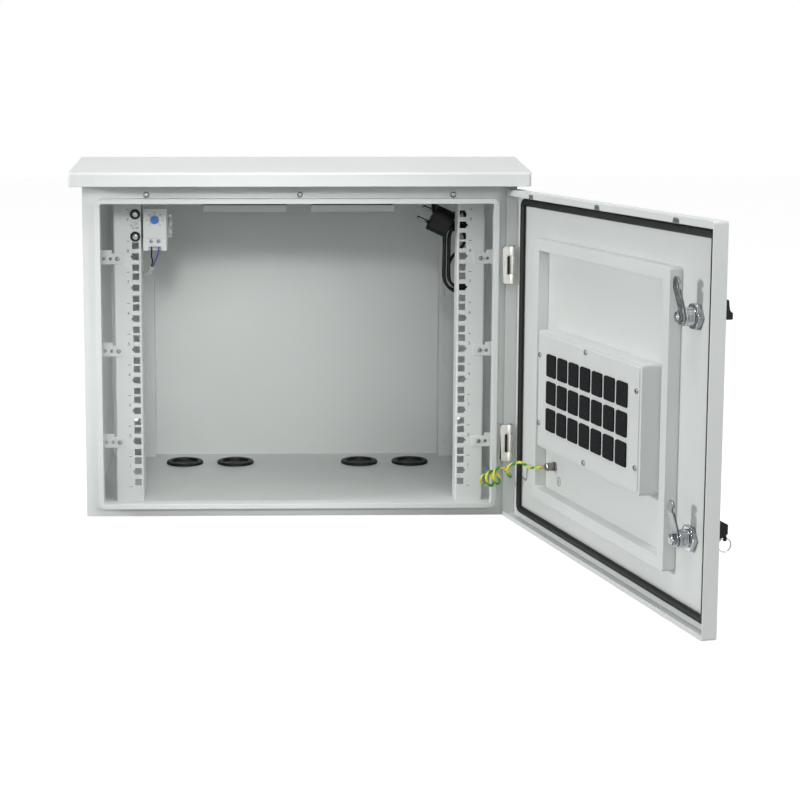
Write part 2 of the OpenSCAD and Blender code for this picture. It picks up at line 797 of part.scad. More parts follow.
module lock_places() {
    for (z = lock_z) translate([lock_x, 0, z]) children();
}

// Rows of pressed louvres over the filter; each is open below its hood
louvre = [118, 12, 6];
louvre_places = [for (x = [-1, 1], k = [-2.5:2.5]) [x * (louvre.x / 2 + 6), filter_z + k * 18]];

module louvre_hood() {
    side(-louvre.x / 2, louvre.x) polygon([[0, louvre.y / 2], [-louvre.z, -louvre.y / 4],
        [sheet - louvre.z, -louvre.y / 4], [0, louvre.y / 2 - 2 * sheet]]);
    for (x = [-louvre.x / 2, louvre.x / 2 - sheet]) side(x, sheet)
        polygon([[0, louvre.y / 2], [-louvre.z, -louvre.y / 4], [0, -louvre.y / 4]]);
}

// The door's folded pan, with lips along its top and foot
module door_panel() color(PAINT) swing() {
    difference() {
        union() {
            difference() {
                front(door_y0, door_t) door_plan(0);
                front(skin_y, door_t) door_plan(sheet);
            }
            front(door_y1 - sheet, sheet) rect(door_x0 + sheet, door_z1 - lip_top, door_x1 - sheet, door_z1 - sheet);
            front(door_y1 - sheet, sheet) rect(door_x0 + sheet, door_z0 + sheet, door_x1 - sheet, door_z0 + lip_foot);
        }
        front(door_y1 - 2 * sheet, 3 * sheet) for (x = [-screw_x, 0, screw_x]) lip_notch(x);
        lock_places() inward([0, door_y0 - 1, 0]) cylinder(d = lock_d, h = 2 * sheet);
        front(door_y0 - 1, sheet + 2) for (p = louvre_places) translate(p)
            rect(sheet - louvre.x / 2, -louvre.y / 4, louvre.x / 2 - sheet, louvre.y / 2 - 2 * sheet);
    }
    for (p = louvre_places) translate([p.x, door_y0, p.y]) louvre_hood();
}

module door_gasket() color(RUBBER) swing() {
    spare = (gasket_w - rim_w) / 2;
    front(skin_y, gasket_t) rim_ring(-spare, gasket_w - spare);
}

// A hat-section frame on the inside of the skin
module stiff_ring(outer, inner) {
    translate([0, door_zm - stiff_drop]) difference() {
        middle_rect(stiff_w - 2 * outer, stiff_h - 2 * outer, 4);
        middle_rect(stiff_w - 2 * inner, stiff_h - 2 * inner, 3);
    }
}

module door_stiffener() color(PAINT) swing() {
    d = door_t - sheet - 1;
    front(skin_y, d) stiff_ring(0, sheet);
    front(skin_y, d) stiff_ring(stiff_m - sheet, stiff_m);
    front(skin_y + d - sheet, sheet) stiff_ring(0, stiff_m);
}

// Air filter

filter_w = (filter_n.x - 1) * filter_pitch + filter_hole + filter_edge.x * 2 + 8;
filter_h = (filter_n.y - 1) * filter_pitch + filter_hole + filter_edge.y * 2 + 8;
cover_y = skin_y + filter_d - sheet;
mat_w = filter_w - 24;
mat_h = filter_h - 24;

// The places of the cover's holes, in X and Z
filter_holes = [for (i = [0:filter_n.x - 1], k = [0:filter_n.y - 1])
    [(i - (filter_n.x - 1) / 2) * filter_pitch, filter_z + (k - (filter_n.y - 1) / 2) * filter_pitch]];
filter_screw_at = concat([for (s = [-1, 1], z = [-45.2, 45.2]) [s * (filter_w / 2 - 9), filter_z + z]],
    [for (s = [-1, 1]) [0, filter_z + s * (filter_h / 2 - 8)]]);

module filter_screw_places() {
    for (p = filter_screw_at) inward([p.x, cover_y + sheet, p.y]) mirror([0, 0, 1]) children();
}

module filter_box() color(PAINT) swing() difference() {
    union() {
        front(skin_y, cover_y - skin_y) translate([0, filter_z]) difference() {
            middle_rect(filter_w, filter_h, 4);
            middle_rect(filter_w - 2 * sheet, filter_h - 2 * sheet, 4 - sheet);
        }
        front(cover_y - sheet, sheet) translate([0, filter_z]) difference() {
            middle_rect(filter_w, filter_h, 4);
            middle_rect(mat_w, mat_h, 2);
        }
    }
    filter_screw_places() translate([0, 0, -1]) cylinder(d = 3.5, h = 4 * sheet);
}

module filter_cover() color(PAINT) swing() difference() {
    front(cover_y, sheet) difference() {
        translate([0, filter_z]) middle_rect(filter_w - 8, filter_h - 8, 3);
        for (p = filter_holes) translate(p) middle_rect(filter_hole, filter_hole, 3);
    }
    filter_screw_places() translate([0, 0, -1]) cylinder(d = 3.5, h = 4 * sheet);
}

// The filter mat, swelling a little through the cover's holes
module filter_mat() color(FOAM) swing() {
    front(cover_y - 14, 14) translate([0, filter_z]) middle_rect(mat_w - 2 * fit, mat_h - 2 * fit, 2);
    front(cover_y, sheet + 1.6) for (p = filter_holes) translate(p)
        middle_rect(filter_hole - 2 * fit, filter_hole - 2 * fit, 3);
}

module filter_screws() color(STEEL) swing() filter_screw_places() pan_screw(7, 2.2, 3.5, 3 * sheet + 3);

// Locks

// The outside collar and threaded barrel of each lock
module lock_housings() color(CHROME) swing() lock_places() difference() {
    union() {
        inward([0, door_y0 - 5, 0]) cylinder(d = lock_d + 8, h = 5);
        inward([0, door_y0 - 12, 0]) cylinder(d = lock_d + 2, h = 7.5);
        inward([0, door_y0, 0]) cylinder(d = lock_d, h = lock_reach - fit);
    }
    inward([0, door_y0 - 20, 0]) cylinder(d = 14 + 2 * run, h = 2 * lock_reach);
}

module lock_nuts() color(CHROME) swing() lock_places() inward([0, skin_y, 0]) intersection() {
    nut(lock_d + 8, 6.5, lock_d);
    cylinder(d1 = lock_d + 25, d2 = lock_d + 9, h = 6.5);
}

// The turning core of a lock, with its keyway, cam square and end nut
module lock_plug() color(CHROME) {
    difference() {
        inward([0, door_y0 - 11, 0]) cylinder(d = 14, h = lock_reach + 11);
        translate([-1.25, door_y0 - 12, -4.5]) cube([2.5, 26, 9]);
    }
    translate([-4, door_y0 + lock_reach - 1, -4]) cube([8, 3.5, 8]);
    inward([0, door_y0 + lock_reach, 0]) cylinder(d = 6, h = 8.5);
    inward([0, door_y0 + lock_reach + 2.5, 0]) nut(11, 5);
}

// A cranked cam, pointing up, notched beside its tip
module lock_cam() color(DARK) {
    y = door_y0 + lock_reach;
    t = 2.5;
    difference() {
        intersection() {
            side(-9, 18) polygon(rounded([[y, -9], [y + t, -9], [y + t, 9], [y + t + cam_crank, cam_l - 13],
                [y + t + cam_crank, cam_l], [y + cam_crank, cam_l], [y + cam_crank, cam_l - 12], [y, 10]],
                [0, 0, 4, 4, 0, 0, 6, 6]));
            front(y - 1, t + cam_crank + 2) {
                circle(d = 18);
                polygon(rounded([[-7, 0], [7, 0], [7, cam_l], [-7, cam_l]], [0, 0, 6, 6]));
            }
        }
        front(y - 1, t + 2) middle_rect(8, 8);
        front(y, t + cam_crank + 1) rect(-8, cam_l - 13, -3.5, cam_l - 7);
    }
}

module lock_plug_top() swing() translate([lock_x, 0, lock_z[1]]) lock_plug();

module lock_plug_bottom() swing() translate([lock_x, 0, lock_z[0]]) lock_plug();

module lock_cam_top() swing() translate([lock_x, 0, lock_z[1]]) lock_cam();

module lock_cam_bottom() swing() translate([lock_x, 0, lock_z[0]]) lock_cam();

// A key in its lock: a flat blade and a bow of the given outline in Y and Z
module key(bow) {
    side(-1, 2) rect(door_y0 - 24, -4, door_y0 + 12, 4);
    side(-3.5, 7) translate([door_y0, 0]) polygon(bow);
}

// The upper key has a cranked bow
module key_top() color(BLACK) swing() translate([lock_x, 0, lock_z[1]]) key(rounded(
    [[-14, -5], [-34, -5], [-34, 3], [-29, 4.5], [-29, 17], [-23, 19], [-21, 5], [-14, 5]],
    [1, 1.5, 1.5, 2, 1.5, 1.5, 2, 1]));

// The lower key has a plain bow with an eye for its ring
module key_bottom() color(BLACK) swing() translate([lock_x, 0, lock_z[0]]) {
    key(rounded([[-14, -5], [-24, -5], [-34, 3], [-34, 14], [-22, 21], [-14, 8]], [1, 2, 1, 3, 3, 2]));
    front(door_y0 - 36, 2) difference() {
        union() {
            translate([0, -3]) circle(d = 7);
            rect(-3.5, -3, 3.5, 12);
        }
        translate([0, -3]) circle(d = 3.6);
    }
}

module key_ring() color(CHROME) swing() translate([lock_x, door_y0 - 35, lock_z[0] - 11])
    rotate([0, 90, 0]) rotate_extrude() translate([8, 0]) circle(d = 1.5);

// Earth bonding between the door and the body

// A stud along Z with its nut
module earth_stud() {
    cylinder(d = stud_d, h = 13);
    translate([0, 0, 4]) nut(10, 5);
    cylinder(d = 12, h = 3);
}

// A ring terminal under the nut, its sleeve running along X
module earth_lug() {
    difference() {
        union() {
            translate([0, 0, 3]) cylinder(d = 11, h = 1);
            translate([0, -2.6, 3]) cube([9, 5.2, 1]);
        }
        cylinder(d = stud_d, h = 6);
    }
    translate([7, 0, 5]) rotate([0, 90, 0]) cylinder(d = 5.6, h = 10);
}

module at_frame_stud() translate(frame_stud) rotate([0, -90, 0]) rotate(-90) children();

module at_door_stud() translate(door_stud) rotate([-90, 0, 0]) children();

module earth_stud_frame() color(STEEL) at_frame_stud() earth_stud();

module earth_lug_frame() color("#e8c53a") at_frame_stud() earth_lug();

module earth_stud_door() color(STEEL) swing() at_door_stud() earth_stud();

module earth_lug_door() color("#e8c53a") swing() at_door_stud() earth_lug();

module earth_wire() color("#9aa53a") tube(smooth(concat([frame_stud + [-5, -17.6, 0]], earth_route,
    [for (p = earth_rise) swung(door_stud + p)]), 4), 4.4, [0.4, 0.3, 1]);
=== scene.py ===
"""Roadside utility cabinet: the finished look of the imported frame, in metres and in the frame's own axes."""
import json
import math
import bmesh
import bpy
from mathutils import Matrix, Vector


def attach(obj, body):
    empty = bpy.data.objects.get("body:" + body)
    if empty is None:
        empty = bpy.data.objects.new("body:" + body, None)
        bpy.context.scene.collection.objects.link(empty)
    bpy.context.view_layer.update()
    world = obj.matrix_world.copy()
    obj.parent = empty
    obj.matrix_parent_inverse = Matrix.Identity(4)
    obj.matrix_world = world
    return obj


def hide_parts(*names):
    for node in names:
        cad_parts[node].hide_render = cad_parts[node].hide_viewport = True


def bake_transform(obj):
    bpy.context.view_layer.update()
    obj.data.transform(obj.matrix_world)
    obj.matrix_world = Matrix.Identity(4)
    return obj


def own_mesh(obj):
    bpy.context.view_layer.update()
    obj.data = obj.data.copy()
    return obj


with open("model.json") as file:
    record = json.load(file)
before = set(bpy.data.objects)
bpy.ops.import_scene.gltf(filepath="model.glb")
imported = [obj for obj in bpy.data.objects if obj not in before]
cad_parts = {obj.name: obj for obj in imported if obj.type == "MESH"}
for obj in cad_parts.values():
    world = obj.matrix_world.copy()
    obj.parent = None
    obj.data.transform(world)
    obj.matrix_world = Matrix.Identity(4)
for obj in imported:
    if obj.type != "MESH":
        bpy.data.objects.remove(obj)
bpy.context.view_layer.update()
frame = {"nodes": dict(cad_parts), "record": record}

MM = 0.001
cad = frame["nodes"]
slot_of = {p["node"]: p["material_slot"] for p in frame["record"]["subparts"]}
body_of = {n: b for b, ns in frame["record"]["behaviour"]["bodies"].items() for n in ns}
scene = bpy.context.scene
scene.view_settings.view_transform = "Standard"

# Sizes of the cabinet that the added pieces sit on, in millimetres
UNIT = 44.45
UNITS = 9
UNIT_BASE = 27.2
RAIL_Y = -134.5
SKIN_Y = -222.0
DOOR_Y0 = -223.5
PIN = (293.5, -213.5)
LOCK_X = -237.5
LOCK_Z = (100.525, 350.525)
SWITCH = (-205.3, -130.5, 368.4)
DIAL_Z = 412.2
TERMINAL_X = 5
DOOR_STUD = (151.5, -222.0, 101.025)
HINGE_Z = (105.525, 355.525)
LEAF_Y = -217.5


def at(x, y, z):
    return Vector((x, y, z)) * MM


# The door's swing from shut to the angle it rests at
DOOR_ANGLE = 104
pin = at(*PIN, 0)
OPEN = Matrix.Translation(pin) @ Matrix.Rotation(math.radians(DOOR_ANGLE), 4, "Z") @ Matrix.Translation(-pin)
SHUT = OPEN.inverted()


# Materials

def srgb(code):
    """A written colour as the linear one that a shader takes."""
    parts = [int(code[i:i + 2], 16) / 255 for i in (1, 3, 5)]
    return tuple(c / 12.92 if c <= 0.04045 else ((c + 0.055) / 1.055) ** 2.4 for c in parts) + (1.0,)


def add(tree, kind, **given):
    """One node with its settings; a socket among them is linked to the input of that name or number."""
    node = tree.nodes.new(kind)
    for key, value in given.items():
        if key == "stops":
            marks = node.color_ramp.elements
            while len(marks) < len(value):
                marks.new(0.5)
            for mark, (place, tone) in zip(marks, value):
                mark.position = place
                mark.color = srgb(tone) if isinstance(tone, str) else (tone, tone, tone, 1.0)
            continue
        if hasattr(node, key):
            setattr(node, key, value)
            continue
        by_number = key[:2] == "in" and key[2:].isdigit()
        socket = node.inputs[int(key[2:]) if by_number else key.replace("_", " ")]
        if isinstance(value, bpy.types.NodeSocket):
            tree.links.new(value, socket)
        else:
            socket.default_value = value
    return node


def material(name, colour, rough, metallic=0.0, specular=0.5):
    """A material, its tree and shader, and the place on the piece in metres."""
    mat = bpy.data.materials.new(name)
    mat.use_nodes = True
    tree = mat.node_tree
    shader = tree.nodes["Principled BSDF"]
    shader.inputs["Base Color"].default_value = srgb(colour)
    shader.inputs["Roughness"].default_value = rough
    shader.inputs["Metallic"].default_value = metallic
    shader.inputs["Specular IOR Level"].default_value = specular
    return mat, tree, shader, add(tree, "ShaderNodeTexCoord").outputs["Object"]


def clouded(name, base, shade, rough, cloud, grain, depth, metallic=0.0, specular=0.5, spread=0.06):
    """A finish that varies: its colour over clouds, its gloss over the grain, and a grain that stands depth up."""
    mat, tree, shader, place = material(name, base, rough, metallic, specular)
    clouds = add(tree, "ShaderNodeTexNoise", Vector=place, Scale=1 / (cloud * MM), Detail=3.0)
    tone = add(tree, "ShaderNodeValToRGB", Fac=clouds.outputs["Fac"], stops=[(0.32, shade), (0.68, base)])
    tree.links.new(tone.outputs["Color"], shader.inputs["Base Color"])
    patch = add(tree, "ShaderNodeTexNoise", Vector=place, Scale=1 / (8 * grain * MM), Detail=2.0)
    gloss = add(tree, "ShaderNodeMapRange", Value=patch.outputs["Fac"], From_Min=0.25, From_Max=0.75,
                To_Min=max(rough - spread, 0.02), To_Max=rough + spread)
    tree.links.new(gloss.outputs["Result"], shader.inputs["Roughness"])
    fine = add(tree, "ShaderNodeTexNoise", Vector=place, Scale=1 / (grain * MM), Detail=2.0)
    bump = add(tree, "ShaderNodeBump", Height=fine.outputs["Fac"], Distance=depth * MM, Strength=0.6)
    tree.links.new(bump.outputs["Normal"], shader.inputs["Normal"])
    return mat


def filter_foam():
    # Reticulated polyurethane foam: open pores that swallow light, drawn at 1.6 mm so that they show; the colour
    # darker in each pore as painted shade
    mat, tree, shader, place = material("open_cell_polyurethane_foam", "#17181a", 0.95, specular=0.15)
    pores = add(tree, "ShaderNodeTexVoronoi", Vector=place, Scale=1 / (1.6 * MM)).outputs["Distance"]
    tone = add(tree, "ShaderNodeValToRGB", Fac=pores, stops=[(0.05, "#08080a"), (0.5, "#17181a"), (0.9, "#2a2b2e")])
    tree.links.new(tone.outputs["Color"], shader.inputs["Base Color"])
    bump = add(tree, "ShaderNodeBump", Height=pores, Distance=0.5 * MM, Strength=0.9)
    tree.links.new(bump.outputs["Normal"], shader.inputs["Normal"])
    return mat


def braided_sleeve():
    # Braided glass-fibre sleeve: white yarn in a 1.2 mm weave, dull and slightly furry; the colour darker between the
    # yarns as painted shade
    mat, tree, shader, _ = material("white_braided_sleeve", "#ececea", 0.75, specular=0.25)
    along = add(tree, "ShaderNodeUVMap", uv_map="along").outputs["UV"]
    yarns = add(tree, "ShaderNodeMapping", Vector=along, Scale=(1 / (1.2 * MM), 14.0, 1.0), Rotation=(0, 0, 0.6))
    weave = add(tree, "ShaderNodeTexVoronoi", Vector=yarns.outputs["Vector"], Scale=1.0).outputs["Distance"]
    tone = add(tree, "ShaderNodeValToRGB", Fac=weave, stops=[(0.1, "#f0f0ee"), (0.7, "#c4c4c2")])
    tree.links.new(tone.outputs["Color"], shader.inputs["Base Color"])
    bump = add(tree, "ShaderNodeBump", Height=weave, Distance=0.15 * MM, Strength=0.8, invert=True)
    tree.links.new(bump.outputs["Normal"], shader.inputs["Normal"])
    return mat


def earth_insulation():
    # PVC insulation in two colours: a green band that winds round yellow, one turn in 26 mm
    mat, tree, shader, place = material("green_yellow_pvc_insulation", "#e3d23c", 0.36, specular=0.45)
    along = add(tree, "ShaderNodeUVMap", uv_map="along").outputs["UV"]
    part = add(tree, "ShaderNodeSeparateXYZ", Vector=along)
    turns = add(tree, "ShaderNodeMath", operation="MULTIPLY", in0=part.outputs["X"], in1=1 / (26 * MM))
    wound = add(tree, "ShaderNodeMath", operation="ADD", in0=turns.outputs[0], in1=part.outputs["Y"])
    band = add(tree, "ShaderNodeMath", operation="FRACT", in0=wound.outputs[0])
    tone = add(tree, "ShaderNodeValToRGB", Fac=band.outputs[0],
               stops=[(0.0, "#2f9a55"), (0.42, "#2a8a4b"), (0.46, "#dfd343"), (0.98, "#e6dd58")])
    tree.links.new(tone.outputs["Color"], shader.inputs["Base Color"])
    skin = add(tree, "ShaderNodeTexNoise", Vector=place, Scale=1 / (0.9 * MM), Detail=2.0)
    bump = add(tree, "ShaderNodeBump", Height=skin.outputs["Fac"], Distance=0.02 * MM, Strength=0.5)
    tree.links.new(bump.outputs["Normal"], shader.inputs["Normal"])
    return mat


# Polyester powder coat on steel: satin, with a faint orange peel drawn at 1.8 mm so that it shows
COAT = clouded("powder_coated_steel", "#dee2e0", "#d9dddb", 0.4, 180, 1.8, 0.05, specular=0.45)
# Zinc plate on steel: grey metal with a soft spangle
ZINC = clouded("zinc_plated_steel", "#9a9ea0", "#7d8184", 0.28, 6, 1.2, 0.01, 1.0)
# Chrome on brass: bright, its colour over 14 mm clouds of light and dark as painted reflections
CHROME = clouded("chrome_plated_brass", "#c8cbce", "#868a8d", 0.11, 14, 1.5, 0.004, 1.0, spread=0.05)
# Nickel on die-cast zinc, bead blasted: a pale, warm satin
NICKEL = clouded("blasted_nickel_die_casting", "#d6d6d0", "#c6c6c0", 0.5, 12, 1.0, 0.02, 1.0)
# Nickel on brass pins: a darker grey metal
PINS = clouded("dark_grey_nickel_brass", "#6e7072", "#56585a", 0.24, 5, 0.8, 0.01, 1.0)
# Steel punched, tumbled and zinc plated: greyer, with rolled grain; its colour over 16 mm clouds of light and dark as
# painted reflections
CAM = clouded("tumbled_zinc_steel", "#a2a6a8", "#7e8285", 0.26, 16, 0.8, 0.012, 1.0)
# Glass-filled nylon, black and moulded: even dull gloss
NYLON = clouded("black_glass_filled_nylon", "#101012", "#0b0b0c", 0.5, 30, 0.7, 0.02, specular=0.22)
# ABS, light grey and spark-eroded
ABS = clouded("light_grey_abs", "#e3e6e6", "#dce0e0", 0.45, 30, 0.7, 0.02)
# ABS, blue, smooth
ABS_BLUE = clouded("blue_abs", "#3f76cf", "#3568bd", 0.35, 8, 0.7, 0.01)
# EPDM rubber: black, with the bloom that dulls it
EPDM = clouded("black_epdm_rubber", "#101112", "#0b0c0d", 0.5, 25, 0.9, 0.03, specular=0.3)
# PVC sheath: black, drawn smooth, satin
SHEATH = clouded("black_pvc_sheath", "#0c0c0d", "#070708", 0.38, 40, 1.0, 0.01, specular=0.25)
# PVC insulation of a single core: violet, satin
VIOLET = clouded("violet_pvc_insulation", "#5a4fa8", "#4a4192", 0.36, 10, 0.8, 0.01)
# PVC crimp sleeve: translucent yellow over tinned copper
CRIMP = clouded("yellow_pvc_crimp", "#dcb24a", "#c08a3a", 0.38, 5, 0.8, 0.02)
# Screen ink on powder coat: flat grey
INK = clouded("grey_screen_ink", "#4b4f51", "#404446", 0.7, 3, 0.5, 0.004)
# Polyolefin shrink tube: white, smooth, faintly waxy
SHRINK = clouded("white_shrink_tube", "#f0f0ee", "#e4e4e2", 0.4, 8, 0.8, 0.01)
FOAM = filter_foam()
SLEEVE = braided_sleeve()
EARTH = earth_insulation()

finish = {"powder_coat": COAT, "zinc_steel": ZINC, "chrome_plate": CHROME, "dark_steel": CAM, "black_plastic": NYLON,
          "switch_plastic": ABS, "dial_plastic": ABS_BLUE, "black_rubber": EPDM, "cable_sheath": SHEATH,
          "lead_sleeve": SLEEVE, "earth_insulation": CRIMP, "filter_foam": FOAM}
own_finish = {"hinge_leaves": NICKEL, "hinge_knuckles": NICKEL, "plug_pins": PINS}


def finish_for(node):
    return own_finish.get(node, finish[slot_of[node]])


for name, ob in cad.items():
    ob.data.materials.clear()
    ob.data.materials.append(finish_for(name))


# Pieces

def piece(name, mesh, finish_of_it, body, slot=None, *stands_for):
    """A mesh as an object at the origin that rides on a body and may stand for nodes of the frame."""
    ob = bpy.data.objects.new(name, mesh)
    scene.collection.objects.link(ob)
    mesh.materials.clear()
    mesh.materials.append(finish_of_it)
    if body:
        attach(ob, body)
    if stands_for:
        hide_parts(*stands_for)
    return ob


# Area in square metres above which a face is left flat
BROAD_FACE = 1.2e-4


def soften(mesh, angle=35):
    """Smooth shading between sharp edges, with every broad face left flat."""
    mesh.shade_smooth()
    mesh.set_sharp_from_angle(angle=math.radians(angle))
    for face in mesh.polygons:
        if face.area > BROAD_FACE:
            face.use_smooth = False
    return mesh


def mesh_of(bm, name):
    mesh = bpy.data.meshes.new(name)
    bm.to_mesh(mesh)
    bm.free()
    return mesh


def eased(node, width, turn=Matrix(), angle=28, segments=2):
    """A node, after a turn, with its sharp edges rounded to a width in mm as folding and moulding leave them."""
    bm = bmesh.new()
    bm.from_mesh(cad[node].data)
    bmesh.ops.remove_doubles(bm, verts=bm.verts, dist=1e-6)
    bmesh.ops.dissolve_limit(bm, angle_limit=math.radians(0.6), verts=bm.verts, edges=bm.edges)
    edges = [e for e in bm.edges if len(e.link_faces) == 2 and e.calc_face_angle(0) > math.radians(angle)]
    bmesh.ops.bevel(bm, geom=edges, offset=width * MM, segments=segments, profile=0.5, affect="EDGES",
                    clamp_overlap=False)
    bmesh.ops.recalc_face_normals(bm, faces=bm.faces)
    bm.transform(turn)
    mesh = soften(mesh_of(bm, node + "_eased"), 40)
    return piece(node + "_eased", mesh, finish_for(node), body_of[node], slot_of[node], node)


def solids(node, turn=Matrix()):
    """The box of each separate solid of a node, in mm, after a turn."""
    bm = bmesh.new()
    bm.from_mesh(cad[node].data)
    bmesh.ops.remove_doubles(bm, verts=bm.verts, dist=1e-6)
    bm.transform(turn)
    left, found = set(bm.verts), []
    while left:
        reach, group = [left.pop()], []
        while reach:
            v = reach.pop()
            group.append(v.co / MM)
            for e in v.link_edges:
                w = e.other_vert(v)
                if w in left:
                    left.remove(w)
                    reach.append(w)
        found.append([[f(p[i] for p in group) for i in range(3)] for f in (min, max)])
    bm.free()
    return sorted(found)


def curved(points, steps):
    """A smooth run through points, steps to each stretch."""
    run, n = [], len(points)
    for i in range(n - 1):
        a, b, c, d = points[max(i - 1, 0)], points[i], points[i + 1], points[min(i + 2, n - 1)]
        for k in range(steps):
            t = k / steps
            run.append(b + (c - a) * (t / 2) + (2 * a - 5 * b + 4 * c - d) * (t * t / 2)
                       + (3 * b - a - 3 * c + d) * (t * t * t / 2))
    return run + [points[-1]]


def spaced(run, gap):
    """The same line with its points about gap metres apart."""
    reach = [0.0]
    for p, q in zip(run, run[1:]):
        reach.append(reach[-1] + (q - p).length)
    count = max(2, round(reach[-1] / gap))
    out, i = [], 0
    for k in range(count + 1):
        want = reach[-1] * k / count
        while i < len(run) - 2 and reach[i + 1] < want:
            i += 1
        span = reach[i + 1] - reach[i]
        out.append(run[i].lerp(run[i + 1], (want - reach[i]) / span if span else 0.0))
    return out


def settled(run, rounds):
    """The same line with its kinks eased, its two points at each end kept."""
    for _ in range(rounds):
        run = run[:2] + [(a + 2 * b + c) / 4 for a, b, c in zip(run[1:], run[2:], run[3:])] + run[-2:]
    return run


def tube(name, run, radius, sides=16):
    """A round tube along run, with a map in metres along it and in turns round it."""
    bm = bmesh.new()
    uv = bm.loops.layers.uv.new("along")
    t = (run[1] - run[0]).normalized()
    u = t.orthogonal().normalized()
    rings, reach = [], [0.0]
    for i, p in enumerate(run):
        ahead = (run[min(i + 1, len(run) - 1)] - run[max(i - 1, 0)]).normalized()
        u = t.rotation_difference(ahead) @ u
        t = ahead
        u = (u - t * u.dot(t)).normalized()
        v = t.cross(u)
        rings.append([bm.verts.new(p + radius * (u * math.cos(a) + v * math.sin(a)))
                      for a in (2 * math.pi * j / sides for j in range(sides))])
        if i:
            reach.append(reach[-1] + (p - run[i - 1]).length)
    for i in range(len(rings) - 1):
        for j in range(sides):
            k = (j + 1) % sides
            f = bm.faces.new((rings[i][j], rings[i][k], rings[i + 1][k], rings[i + 1][j]))
            corners = ((reach[i], j), (reach[i], j + 1), (reach[i + 1], j + 1), (reach[i + 1], j))
            for loop, (x, y) in zip(f.loops, corners):
                loop[uv].uv = (x, y / sides)
    bm.faces.new(rings[0][::-1])
    bm.faces.new(rings[-1])
    return soften(mesh_of(bm, name), 50)


def lathe(bm, outline, centre=(0, 0, 0), steps=32, turned=0.0):
    """A shape turned about the Y axis through centre; outline is (radius, y) in mm, from axis to axis or closed."""
    rings = []
    for r, y in outline:
        if r < 1e-6:
            rings.append([bm.verts.new(at(centre[0], centre[1] + y, centre[2]))])
        else:
            rings.append([bm.verts.new(at(centre[0] + r * math.cos(a), centre[1] + y, centre[2] + r * math.sin(a)))
                          for a in (turned + 2 * math.pi * k / steps for k in range(steps))])
    for a, b in zip(rings, rings[1:]):
        for k in range(steps):
            m = (k + 1) % steps
            corners = [a[k % len(a)], a[m % len(a)], b[m % len(b)], b[k % len(b)]]
            bm.faces.new(list(dict.fromkeys(corners)))
    return bm


def plate(bm, x0, y0, z0, x1, y1, z1):
    """A box between two corners in mm."""
    box = bmesh.ops.create_cube(bm, size=1.0)["verts"]
    middle = at((x0 + x1) / 2, (y0 + y1) / 2, (z0 + z1) / 2)
    for v in box:
        v.co = middle + Vector((v.co.x * (x1 - x0), v.co.y * (y1 - y0), v.co.z * (z1 - z0))) * MM


# Geometry Nodes: what repeats, and what runs along a path

def outlet(tree, geometry, finish_socket):
    solid = add(tree, "GeometryNodeRealizeInstances", Geometry=geometry).outputs["Geometry"]
    dressed = add(tree, "GeometryNodeSetMaterial", Geometry=solid, Material=finish_socket).outputs["Geometry"]
    add(tree, "NodeGroupOutput", in0=dressed)


def tree_with(name, *sockets):
    tree = bpy.data.node_groups.new(name, "GeometryNodeTree")
    for label, kind in sockets:
        tree.interface.new_socket(label, in_out="INPUT", socket_type="NodeSocket" + kind)
    tree.interface.new_socket("Pieces", in_out="OUTPUT", socket_type="NodeSocketGeometry")
    return tree, add(tree, "NodeGroupInput").outputs


repeat_tree, given = tree_with("part_at_each_point", ("Points", "Geometry"), ("Part", "Object"),
                               ("Finish", "Material"))
part = add(repeat_tree, "GeometryNodeObjectInfo", Object=given["Part"]).outputs["Geometry"]
size = add(repeat_tree, "GeometryNodeInputNamedAttribute", data_type="FLOAT", Name="size").outputs["Attribute"]
copies = add(repeat_tree, "GeometryNodeInstanceOnPoints", Points=given["Points"], Instance=part, Scale=size)
outlet(repeat_tree, copies.outputs["Instances"], given["Finish"])

bead_tree, given = tree_with("bead_along_path", ("Path", "Geometry"), ("Width", "Float"), ("Height", "Float"),
                             ("Finish", "Material"))
line = add(bead_tree, "GeometryNodeMeshToCurve", Mesh=given["Path"]).outputs["Curve"]
line = add(bead_tree, "GeometryNodeSetCurveNormal", Curve=line, mode="Z_UP").outputs["Curve"]
ring = add(bead_tree, "GeometryNodeCurvePrimitiveCircle", Resolution=14, Radius=0.5).outputs["Curve"]
oval = add(bead_tree, "ShaderNodeCombineXYZ", X=given["Width"], Y=given["Height"], Z=1.0).outputs["Vector"]
ring = add(bead_tree, "GeometryNodeTransform", Geometry=ring, Scale=oval).outputs["Geometry"]
bead = add(bead_tree, "GeometryNodeCurveToMesh", Curve=line, Profile_Curve=ring).outputs["Mesh"]
outlet(bead_tree, bead, given["Finish"])


def grown(tree, name, start, **inputs):
    """The plain mesh that a tree makes of a start mesh and its named inputs."""
    ob = bpy.data.objects.new(name, start)
    scene.collection.objects.link(ob)
    mod = ob.modifiers.new("grow", "NODES")
    mod.node_group = tree
    for item in tree.interface.items_tree:
        if item.in_out == "INPUT" and item.name in inputs:
            mod[item.identifier] = inputs[item.name]
    layer = bpy.context.evaluated_depsgraph_get()
    mesh = bpy.data.meshes.new_from_object(ob.evaluated_get(layer), preserve_all_data_layers=True, depsgraph=layer)
    ob.modifiers.remove(mod)
    bpy.data.objects.remove(ob)
    mesh.name = name
    return mesh


def repeated(name, part_mesh, places, finish_of_it, sizes=None):
    """One mesh of a part set at each place in mm."""
    points = bpy.data.meshes.new(name + "_places")
    points.from_pydata([at(*p) for p in places], [], [])
    points.attributes.new("size", "FLOAT", "POINT").data.foreach_set("value", sizes or [1.0] * len(places))
    holder = bpy.data.objects.new(name + "_part", part_mesh)
    scene.collection.objects.link(holder)
    mesh = grown(repeat_tree, name, points, Part=holder, Finish=finish_of_it)
    bpy.data.objects.remove(holder)
    return soften(mesh)


